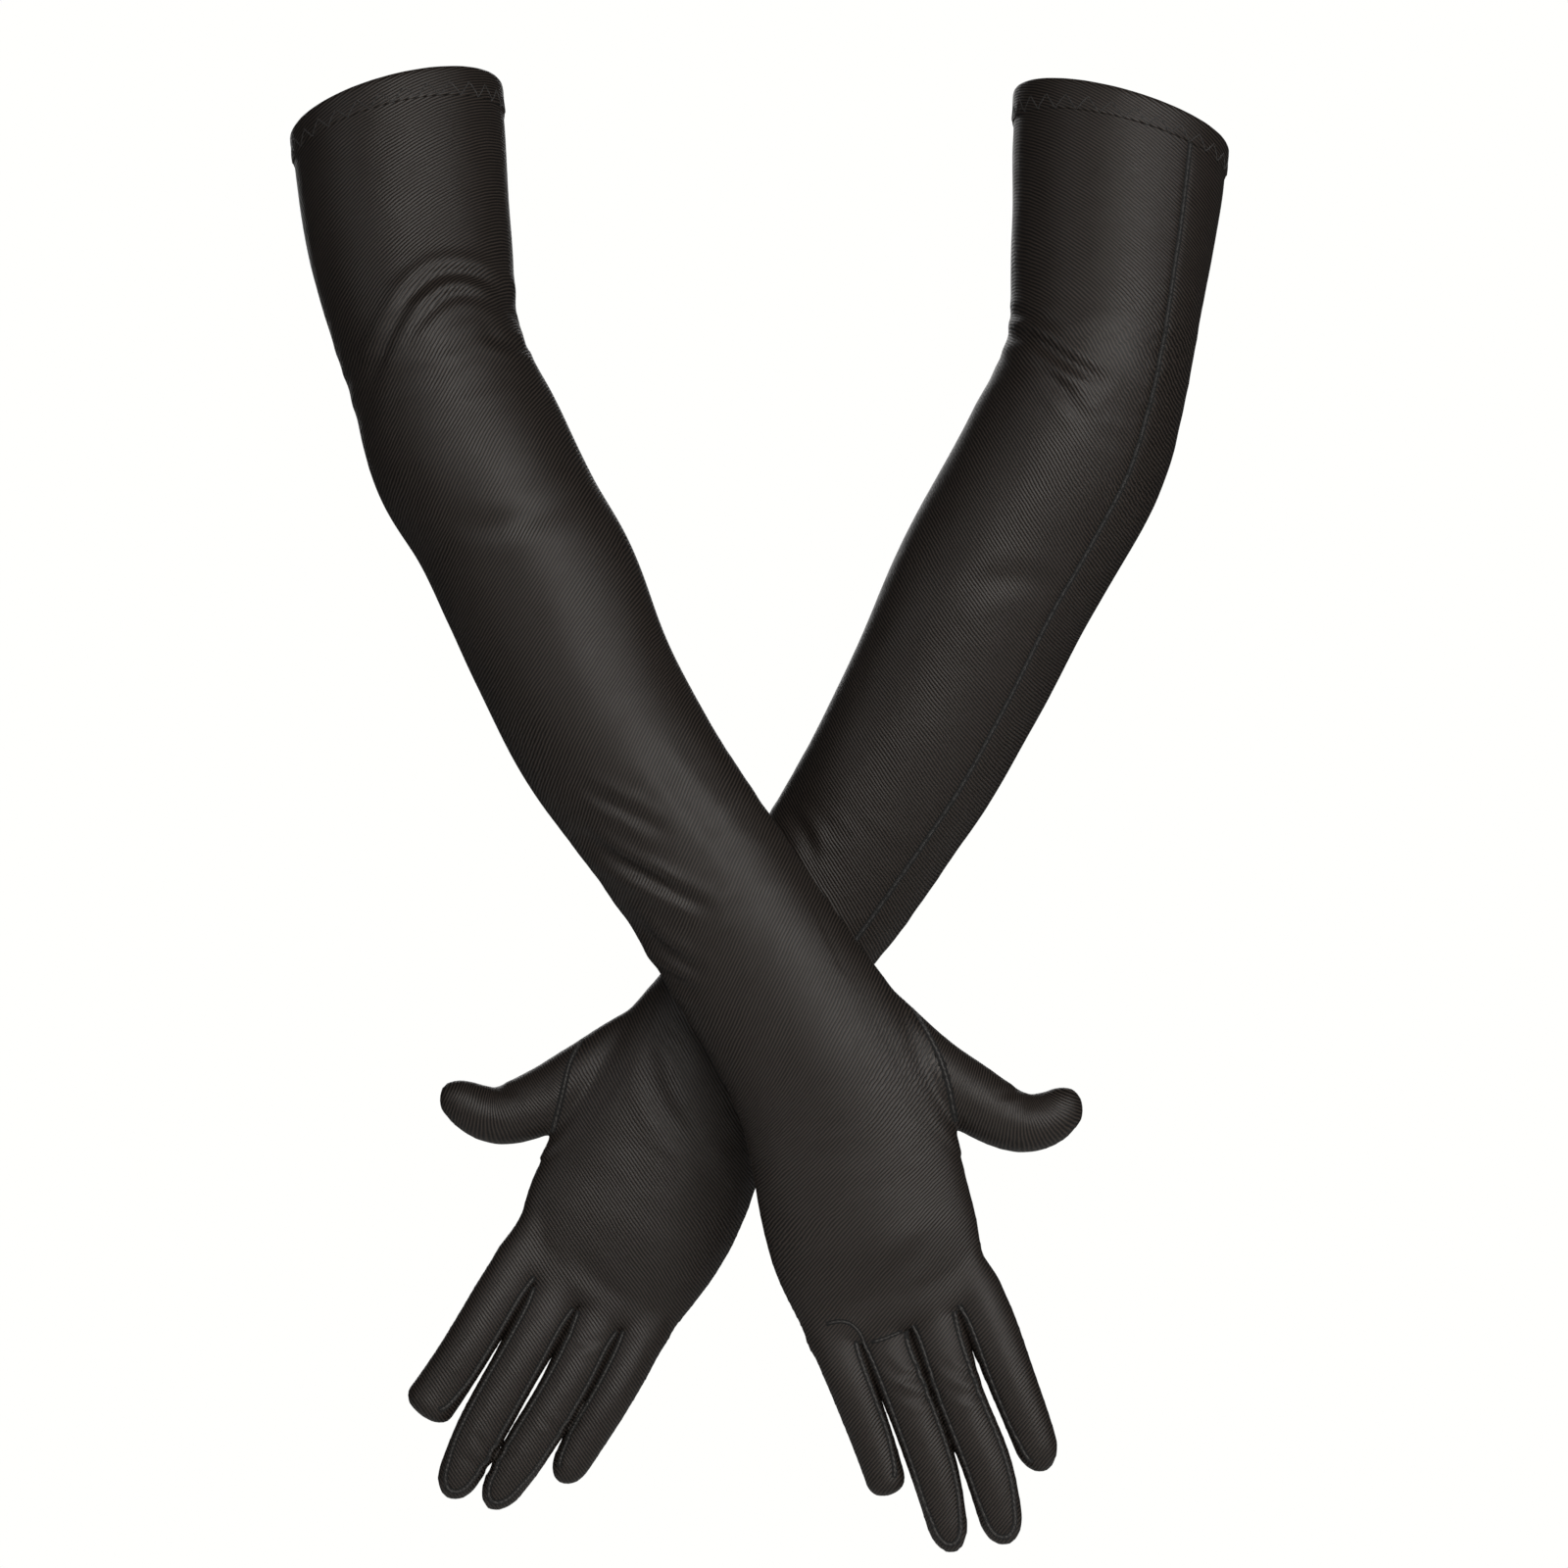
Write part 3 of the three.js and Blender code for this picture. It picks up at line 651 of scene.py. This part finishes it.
def new_object(name, verts, faces, material, attributes=(), custom=None):
    """A piece from vertices in millimetres, smooth and its material."""
    mesh = bpy.data.meshes.new(name)
    mesh.from_pydata((np.asarray(verts) * MM).tolist(), [], faces)
    mesh.shade_smooth()
    for key, values in attributes:
        layer = mesh.attributes.new(key, "FLOAT", "POINT")
        layer.data.foreach_set("value", np.asarray(values, np.float32))
    if custom is not None:
        mesh.normals_split_custom_set_from_vertices(custom.tolist())
    obj = bpy.data.objects.new(name, mesh)
    bpy.context.collection.objects.link(obj)
    mesh.materials.append(material)
    return obj


def attach(obj, glove, digit=None):
    """Adds the piece to the glove's pieces; it rides on the glove, or stays where it is if it belongs to a
    digit.
    """
    glove.pieces.append(obj)
    body = f"{glove.name}_glove"
    if digit is None:
        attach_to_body(obj, body)
        return
    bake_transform(obj)


# ---------- materials ----------
def node(tree, kind, inputs=None, **settings):
    """Adds a shader node. An input is a number, a colour or the output of another node."""
    made = tree.nodes.new(kind)
    for key, value in settings.items():
        setattr(made, key, value)
    for key, value in (inputs or {}).items():
        if isinstance(value, bpy.types.NodeSocket):
            tree.links.new(value, made.inputs[key])
        else:
            made.inputs[key].default_value = value
    return made


def maths(tree, operation, a, b=0.0, c=0.0):
    return node(tree, "ShaderNodeMath", {0: a, 1: b, 2: c}, operation=operation).outputs[0]


def blank_material(name, fixed):
    """A Principled material with the values that are the same all over."""
    material = bpy.data.materials.new(name)
    material.use_nodes = True
    shader = material.node_tree.nodes["Principled BSDF"]
    for key, value in fixed.items():
        shader.inputs[key].default_value = value
    return material, material.node_tree, shader


def noise_value(tree, size, detail=2.0):
    """Noise whose grains are about size millimetres."""
    place = node(tree, "ShaderNodeTexCoord").outputs["Object"]
    scale = 1 / (size * MM)
    return node(tree, "ShaderNodeTexNoise", {"Vector": place, "Scale": scale, "Detail": detail}).outputs[0]


def mixed(tree, factor, low, high):
    made = node(tree, "ShaderNodeMix", {0: factor}, data_type="RGBA")
    made.inputs[6].default_value = (*low, 1)
    made.inputs[7].default_value = (*high, 1)
    return made.outputs[2]


def ribbed_satin(name, valley, crest):
    """Fine ribs that follow the rib attribute, with a woven grain and a soft gloss. The base colour goes
    near black in the rib valleys as painted shade and is lighter on the crests, with random grain and
    patches.
    """
    material, tree, shader = blank_material(name, {"Specular IOR Level": 0.42})
    rib = node(tree, "ShaderNodeAttribute", attribute_name="rib").outputs["Fac"]
    drift = maths(tree, "MULTIPLY", noise_value(tree, 14.0), 1.3)
    phase = maths(tree, "MULTIPLY", maths(tree, "ADD", rib, drift), 2 * math.pi / RIB_PITCH)
    wave = maths(tree, "MULTIPLY_ADD", maths(tree, "SINE", phase), 0.5, 0.5)
    grain = noise_value(tree, 0.55, 3.0)
    patches = noise_value(tree, 9.0, 3.0)
    height = maths(tree, "ADD", wave, maths(tree, "MULTIPLY", grain, 0.55))
    bump = node(tree, "ShaderNodeBump", {"Height": height, "Strength": 0.75, "Distance": 0.16 * MM})
    # Painted shade: the colour darkens from the crest colour to the near-black valley colour down each
    # rib's sides.
    painted_rib_shading = maths(tree, "POWER", wave, 1.8)
    painted_shade_and_grain = maths(tree, "ADD", maths(tree, "MULTIPLY", painted_rib_shading, 0.92), maths(tree, "MULTIPLY", grain, 0.1))
    painted_shade_and_grain = maths(tree, "ADD", painted_shade_and_grain, maths(tree, "MULTIPLY", patches, 0.08))
    rough = maths(tree, "MULTIPLY_ADD", patches, 0.14, 0.40)
    tree.links.new(mixed(tree, painted_shade_and_grain, valley, crest), shader.inputs["Base Color"])
    tree.links.new(rough, shader.inputs["Roughness"])
    tree.links.new(bump.outputs[0], shader.inputs["Normal"])
    return material


def corded(name, pitch, low, high, roughness):
    """Twisted thread or woven tape: bands of about pitch millimetres that noise breaks up."""
    material, tree, shader = blank_material(name, {"Sheen Weight": 0.2, "Sheen Roughness": 0.5})
    place = node(tree, "ShaderNodeTexCoord").outputs["Object"]
    bands = node(tree, "ShaderNodeTexWave", {
        "Vector": place, "Scale": 0.31 / (pitch * MM), "Distortion": 1.5, "Detail": 2.0,
    }, bands_direction="DIAGONAL").outputs[1]
    fuzz = noise_value(tree, pitch * 0.7, 3.0)
    height = maths(tree, "ADD", bands, maths(tree, "MULTIPLY", fuzz, 0.6))
    bump = node(tree, "ShaderNodeBump", {"Height": height, "Strength": 0.7, "Distance": 0.1 * MM})
    rough = maths(tree, "MULTIPLY_ADD", fuzz, 0.15, roughness)
    tree.links.new(mixed(tree, bands, low, high), shader.inputs["Base Color"])
    tree.links.new(rough, shader.inputs["Roughness"])
    tree.links.new(bump.outputs[0], shader.inputs["Normal"])
    return material


# The near-black valley colour is painted shade in the rib valleys.
SATIN = ribbed_satin("ribbed_satin", (0.0006, 0.0006, 0.0006), (0.051, 0.0395, 0.0330))
# The seams' thread is coloured lighter than the satin: painted highlight on the welts, over the thread's
# own twisted bands.
SEAM = corded("whipped_seam_painted_highlight", 0.9, (0.012, 0.0108, 0.0100), (0.060, 0.054, 0.050), 0.42)
LINING = corded("satin_reverse", 0.5, (0.011, 0.010, 0.010), (0.019, 0.018, 0.0175), 0.72)
THREAD = corded("sewing_thread", 0.35, (0.014, 0.013, 0.013), (0.040, 0.037, 0.035), 0.5)
# Near-black colour of the ribbons of painted shadow beside the seams.
SEAM_SHADOW_PAINT = corded("painted_seam_shadow", 0.5, (0.0015, 0.0015, 0.0015), (0.005, 0.0047, 0.0045), 0.8)
TAPE = corded("woven_elastic", 0.9, (0.011, 0.011, 0.011), (0.024, 0.024, 0.024), 0.75)


# ---------- tubes for threads and welts ----------
def tube(points, radii, sides=8, closed=False):
    """Vertices and faces of a round tube along points, with capped ends unless it is closed."""
    points = np.asarray(points, float)
    if closed:
        along = unit(np.roll(points, -1, 0) - np.roll(points, 1, 0))
    else:
        along = unit(np.gradient(points, axis=0))
    side = np.cross(along[0], AWAY if abs(along[0][1]) < 0.9 else UP)
    verts = []
    for point, direction, radius in zip(points, along, np.broadcast_to(radii, len(points))):
        side = unit(side - (side @ direction) * direction)
        other = np.cross(direction, side)
        turn = np.arange(sides) * 2 * np.pi / sides
        verts.append(point + radius * (np.outer(np.cos(turn), side) + np.outer(np.sin(turn), other)))
    rings = len(points)
    faces = []
    for r in range(rings if closed else rings - 1):
        for k in range(sides):
            a, b = r * sides + k, r * sides + (k + 1) % sides
            c, d = (r + 1) % rings * sides + (k + 1) % sides, (r + 1) % rings * sides + k
            faces.append((a, b, c, d))
    if not closed:
        faces.append(tuple(reversed(range(sides))))
        faces.append(tuple((rings - 1) * sides + k for k in range(sides)))
    return np.vstack(verts), faces


def joined(parts):
    """Several (vertices, faces) as one."""
    verts, faces, first = [], [], 0
    for v, f in parts:
        verts.append(v)
        faces.extend(tuple(first + i for i in face) for face in f)
        first += len(v)
    return np.vstack(verts), faces


def evenly(points, spacing):
    """Points about spacing apart down a line, and how far down it each one is."""
    gone = np.concatenate([[0], np.cumsum(np.linalg.norm(np.diff(points, axis=0), axis=1))])
    count = max(4, int(gone[-1] / spacing))
    wanted = np.linspace(0, gone[-1], count)
    return np.stack([np.interp(wanted, gone, points[:, k]) for k in range(3)], -1), wanted


def soften(points, rounds):
    """The line with its small kinks taken out and its ends where they were."""
    points = points.copy()
    for _ in range(rounds):
        points[1:-1] = 0.25 * points[:-2] + 0.5 * points[1:-1] + 0.25 * points[2:]
    return points


def welt(points, radius):
    """A seam's whipped edge: a tube that swells at each stitch and tapers at its ends."""
    points, gone = evenly(soften(points, 6), 0.42)
    swell = 1 + 0.2 * np.cos(2 * np.pi * gone / STITCH_PITCH)
    ends = np.minimum(1, 0.3 + np.minimum(gone, gone[-1] - gone) / 2.5)
    return tube(points, radius * swell * ends, 7)


def painted_shadow_ribbon(points, surface, half_width):
    """A dark ribbon of painted shadow on both sides of a seam, laid on the skin where the recess beside
    the seam is shaded.
    """
    points, _ = evenly(soften(points, 6), 0.8)
    along = unit(np.gradient(points, axis=0))
    rows = []
    for point, direction in zip(points, along):
        hit, normal, *_ = surface.find_nearest(Vector(point))
        side = unit(np.cross(direction, np.array(normal)))
        for step in (-1, 0, 1):
            spot, over, *_ = surface.find_nearest(hit + Vector(step * half_width * side))
            rows.append(np.array(spot) + (SHADOW_RIBBON_LIFT if step else 1.6 * SHADOW_RIBBON_LIFT) * np.array(over))
    faces = [(3 * i + k, 3 * i + k + 1, 3 * i + k + 4, 3 * i + k + 3)
             for i in range(len(points) - 1) for k in (0, 1)]
    return np.array(rows), faces


# ---------- the pieces of a glove ----------
def onto(surface, start, direction, expected, reach=4.0):
    """Where a ray meets the skin, or the expected point if it meets something else first."""
    hit, *_ = surface.ray_cast(Vector(start), Vector(direction))
    if hit is None or (hit - Vector(expected)).length > reach:
        return np.asarray(expected, float)
    return np.array(hit)


def seam_path(limb, base, edges):
    """(distance, across) rows up one edge of a finger, and round the tip down the other if two."""
    top = limb.length - SEAM_TIP - SEAM_TURN
    turn = np.linspace(0, np.pi / 2, 18)[1:]
    shaft = np.linspace(base - SEAM_ROOT, top, 40)
    distance = np.concatenate([shaft, top + SEAM_TURN * np.sin(turn)])
    share = np.interp(distance, [base - SEAM_ROOT, base + 4, top - 8, top], SEAM_SPREAD)
    across = limb.frame(distance)[4] * share
    across[len(shaft):] *= np.cos(turn)
    if len(edges) == 1:
        distance, across = distance[:len(shaft) + 9], across[:len(shaft) + 9]
    rows = [(d, edges[0] * a) for d, a in zip(distance, across)]
    if len(edges) == 2:
        rows += [(d, edges[1] * a) for d, a in zip(distance[-2::-1], across[-2::-1])]
    return rows


def finger_seam(glove, surface, digit, edges, facing):
    """The line where a finger's back (facing -1) or palm face (+1) meets its side strips."""
    limb = glove.digits[digit]
    base = limb.local(glove.bases[digit][0][None])[0][0]
    points = []
    for d, a in seam_path(limb, base, edges):
        centre, _, over, away, w, h = (v[0] for v in limb.frame(np.array([d])))
        height = h * math.sqrt(max(0.02, 1 - (a / w) ** 2))
        expected = centre + a * over + facing * height * away
        points.append(onto(surface, expected + facing * 25 * away, -facing * away, expected))
    return np.array(points)


def laid_seam(surface, places, facing=-1):
    """A seam through places given across and in height, on the back (-1) or the palm side (+1)."""
    points = []
    for x, z in curve_through(places, 40):
        hit, *_ = surface.ray_cast(Vector((x, facing * SEAM_START, z)), Vector(-facing * AWAY))
        if hit is not None:
            points.append(np.array(hit))
    return np.array(points)


def round_profile(glove, profile, count=180, ripple=0.0):
    """A closed profile of (distance, lift) rows carried round the arm."""
    angles = np.arange(count) * 360 / count
    rings = []
    for distance, lift in profile:
        wave = ripple * np.array([noise.noise(Vector((a / 9, distance / 6, glove.side))) for a in angles])
        rings.append(glove.arm.on_skin(np.full(count, distance), angles, lift + wave))
    rings = np.stack(rings, 1)
    rows = len(profile)
    faces = []
    for a in range(count):
        for b in range(rows):
            nxt, up = (a + 1) % count, (b + 1) % rows
            faces.append((a * rows + b, nxt * rows + b, nxt * rows + up, a * rows + up))
    return rings.reshape(-1, 3), faces


# Cross sections of the folded hem and of the elastic inside it: distance down the arm, lift.
HEM_PROFILE = (
    (10.6, 0.02), (10.3, 0.36), (9.6, 0.5), (6, 0.55), (2.4, 0.52), (0.9, 0.4), (0.1, -0.1),
    (-0.2, -1.2), (0.0, -2.4), (0.8, -3.3), (2.2, -3.6), (6, -3.65), (9.2, -3.6), (9.7, -3.3),
    (9.2, -3.0), (5, -2.95), (2.2, -2.8), (1.4, -2.1), (1.3, -1.2), (1.9, -0.65), (6, -0.5),
    (10.4, -0.45),
)
TAPE_PROFILE = (
    (2.6, -0.9), (2.4, -1.2), (2.4, -2.1), (2.7, -2.4), (8.2, -2.5), (8.5, -2.2), (8.5, -1.2),
    (8.2, -0.9),
)
STITCH_TOP = 5.8  # where the zigzag of the hem turns back, from the rim
STITCH_RISE = 4.8  # and how far down it reaches from there
STITCH_RADIUS = 0.22


def hem_stitches(glove):
    """The zigzag that holds the hem: a thread all the way round, over and under the fabric."""
    angles = np.arange(0, 360, 360 / (ZIGZAGS * 10))
    share = np.mod(angles * ZIGZAGS / 360, 1)
    rise = np.abs(2 * share - 1)
    distance = STITCH_TOP + STITCH_RISE * rise
    lift = 0.42 + 0.14 * np.sin(np.pi * np.mod(2 * share, 1))
    lift = np.where(distance > 10.4, lift - 0.3, lift)
    points = glove.arm.on_skin(distance, angles, lift)
    return tube(points, STITCH_RADIUS, 6, closed=True)


def side_seam(glove, surface):
    """The line of the closed seam down the side of the sleeve."""
    degrees = math.degrees(glove.seam_turn)
    points = []
    for distance in np.arange(HEM_DEPTH - 1, glove.seam_end, 1.0):
        expected = glove.arm.on_skin(np.array([distance]), degrees)[0]
        centre = glove.arm.frame(np.array([distance]))[0][0]
        outwards = unit(expected - centre)
        points.append(onto(surface, expected + 20 * outwards, -outwards, expected) - 0.12 * outwards)
    return np.array(points)


def lining_tube(glove):
    """The reverse of the fabric that shows down the cuff."""
    distance = np.linspace(8, glove.seam_end, 70)
    angles = np.arange(0, 360, 5)
    rings = [glove.arm.on_skin(np.full(len(angles), d), angles, -LINING_DEPTH) for d in distance]
    count = len(angles)
    faces = []
    for r in range(len(rings) - 1):
        for k in range(count):
            nxt = (k + 1) % count
            faces.append((r * count + k, (r + 1) * count + k, (r + 1) * count + nxt, r * count + nxt))
    return np.vstack(rings), faces


# The CAD solids that each digit's cover stands in for.
NODES_OF = {
    "index": ("index_finger", "index_outer_strip"),
    "middle": ("middle_back", "middle_palm_face", "middle_inner_strip", "middle_outer_strip"),
    "ring": ("ring_back", "ring_palm_face", "ring_inner_strip", "ring_outer_strip"),
    "little": ("little_back", "little_palm_face", "little_inner_strip"),
    "thumb": ("thumb",),
}


def skins(glove):
    """The sleeve with the palm, and a cover for each digit, all cut from one skin."""
    made = shaped(glove)
    owner = split_skin(glove, made)
    co, faces, normal = as_arrays(made)
    made.free()
    faces_of = {k: [f for f, o in zip(faces, owner) if o == k] for k in range(-1, len(glove.digits))}
    for k, mine in faces_of.items():
        used = np.unique(np.concatenate([np.array(f) for f in mine]))
        place = np.full(len(co), -1)
        place[used] = np.arange(len(used))
        local = [tuple(int(place[i]) for i in f) for f in mine]
        digit = None if k < 0 else list(glove.digits)[k]
        rib = glove.thumb_rib(co[used]) if digit == "thumb" else glove.rib(co[used])
        name = f"{glove.name}_" + (f"{digit}_cover" if digit else "sleeve_and_palm")
        piece = new_object(name, co[used], local, SATIN, [("rib", rib)], normal[used])
        attach(piece, glove, digit)
        wanted = NODES_OF[digit] if digit else ("upper_sleeve", "forearm_sleeve", "palm")
        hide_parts(*(f"{glove.name}_{n}" for n in wanted))
    return BVHTree.FromPolygons([Vector(v) for v in co], faces)


def add_piece(glove, name, shape, material, digit=None, replaced=(), ribs=False):
    """A piece of the trim, which rides on the glove, or stays where it is if it belongs to a digit."""
    verts, faces = shape
    attributes = [("rib", glove.rib(verts))] if ribs else ()
    obj = new_object(f"{glove.name}_{name}", verts, faces, material, attributes)
    attach(obj, glove, digit)
    if replaced:
        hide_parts(*(f"{glove.name}_{n}" for n in replaced))


def add_seams(glove, surface, name, lines, digit=None, scale=1.0):
    """Whipped seams along some lines, their thread lighter as painted highlight, each with a dark ribbon
    of painted shadow beside it.
    """
    welts = joined([welt(line, scale * WELT) for line in lines])
    shadow_ribbons = joined([painted_shadow_ribbon(line, surface, scale * SHADOW_RIBBON_HALF_WIDTH) for line in lines])
    add_piece(glove, f"{name}_seams", welts, SEAM, digit)
    # The dark ribbons are painted shadow beside the seams.
    add_piece(glove, f"{name}_seam_recess", shadow_ribbons, SEAM_SHADOW_PAINT, digit)


def trim(glove, surface):
    """Hem, elastic, lining, seams and stitches of a glove."""
    add_piece(glove, "hem_band", round_profile(glove, HEM_PROFILE, ripple=0.12), SATIN,
              replaced=("hem_facing",), ribs=True)
    add_piece(glove, "hem_tape", round_profile(glove, TAPE_PROFILE), TAPE,
              replaced=("hem_elastic",))
    add_piece(glove, "hem_stitches", hem_stitches(glove), THREAD)
    line = side_seam(glove, surface)
    add_piece(glove, "side_seam", welt(line, WELT), THREAD, replaced=("side_seam_thread",))
    # A dark ribbon of painted shadow along the side seam.
    add_piece(glove, "side_seam_recess", painted_shadow_ribbon(line, surface, SHADOW_RIBBON_HALF_WIDTH), SEAM_SHADOW_PAINT)
    add_piece(glove, "sleeve_lining", lining_tube(glove), LINING)
    for digit in FINGERS:
        edges = [glove.thumb_edge * e for e in EDGES[digit]]
        lines = [finger_seam(glove, surface, digit, edges, facing) for facing in (-1, 1)]
        add_seams(glove, surface, digit, lines, digit)
    lines = [laid_seam(surface, glove.sizes["thumb_seam"], facing) for facing in (-1, 1)]
    add_seams(glove, surface, "thumb", lines, "thumb")
    if glove.sizes["short_seams"]:
        lines = [laid_seam(surface, places) for places in glove.sizes["short_seams"]]
        add_seams(glove, surface, "knuckle", lines, scale=0.7)


# ---------- studio ----------
MIDDLE = (0.13, -0.02, -0.24)  # of the pair of gloves, in metres
CAMERA = (0.139, -6.02, -0.241)  # in metres
LENS = 385.7  # in millimetres


def aimed(obj, at):
    obj.rotation_euler = (Vector(at) - obj.location).to_track_quat("-Z", "Y").to_euler()


def area_light(name, place, at, size, energy, colour=(1, 1, 1)):
    data = bpy.data.lights.new(name, "AREA")
    data.shape = "RECTANGLE"
    data.size, data.size_y = size
    data.energy = energy
    data.color = colour
    obj = bpy.data.objects.new(name, data)
    obj.location = place
    obj.visible_camera = False
    bpy.context.collection.objects.link(obj)
    aimed(obj, at)


def world(background, ambient):
    """White behind the object, and a dimmer light from all round on it."""
    made = bpy.data.worlds.new("studio")
    bpy.context.scene.world = made
    made.use_nodes = True
    tree = made.node_tree
    tree.nodes.clear()
    seen = node(tree, "ShaderNodeBackground", {"Color": (*background, 1), "Strength": 1.0})
    light = node(tree, "ShaderNodeBackground", {"Color": (1, 1, 1, 1), "Strength": ambient})
    camera_ray = node(tree, "ShaderNodeLightPath").outputs["Is Camera Ray"]
    mix = node(tree, "ShaderNodeMixShader", {0: camera_ray, 1: light.outputs[0], 2: seen.outputs[0]})
    output = node(tree, "ShaderNodeOutputWorld")
    tree.links.new(mix.outputs[0], output.inputs[0])


def add_floor():
    bpy.ops.mesh.primitive_circle_add(vertices=96, radius=0.75, fill_type="NGON",
                                      location=(MIDDLE[0], 0, FLOOR))
    floor = bpy.context.object
    floor.name = "floor"
    material, tree, shader = blank_material("floor", {"Roughness": 0.8})
    tree.links.new(mixed(tree, noise_value(tree, 30), (0.8, 0.8, 0.79), (0.86, 0.86, 0.85)),
                   shader.inputs["Base Color"])
    floor.data.materials.append(material)


def add_camera():
    camera = bpy.data.objects.new("camera", bpy.data.cameras.new("camera"))
    camera.location = CAMERA
    camera.rotation_euler = (math.pi / 2, 0, 0)
    camera.data.lens = LENS
    camera.data.sensor_width = 36
    camera.data.clip_end = 20
    bpy.context.collection.objects.link(camera)
    bpy.context.scene.camera = camera


def studio():
    world((1.0, 1.0, 0.985), 0.035)
    area_light("front", (0.7, -2.2, 0.35), MIDDLE, (2.2, 0.9), 34, (1, 0.98, 0.95))
    area_light("left", (-1.6, -1.2, 0.3), MIDDLE, (0.6, 1.2), 5)
    area_light("right", (1.8, -1.2, 0.3), MIDDLE, (0.6, 1.2), 7)
    area_light("back", (-0.1, 2.4, 0.5), MIDDLE, (1.6, 1.2), 14)
    add_floor()
    add_camera()
    bpy.context.scene.view_settings.view_transform = "Standard"


for sizes in (RIGHT, LEFT):
    glove = Glove(sizes)
    trim(glove, skins(glove))
studio()
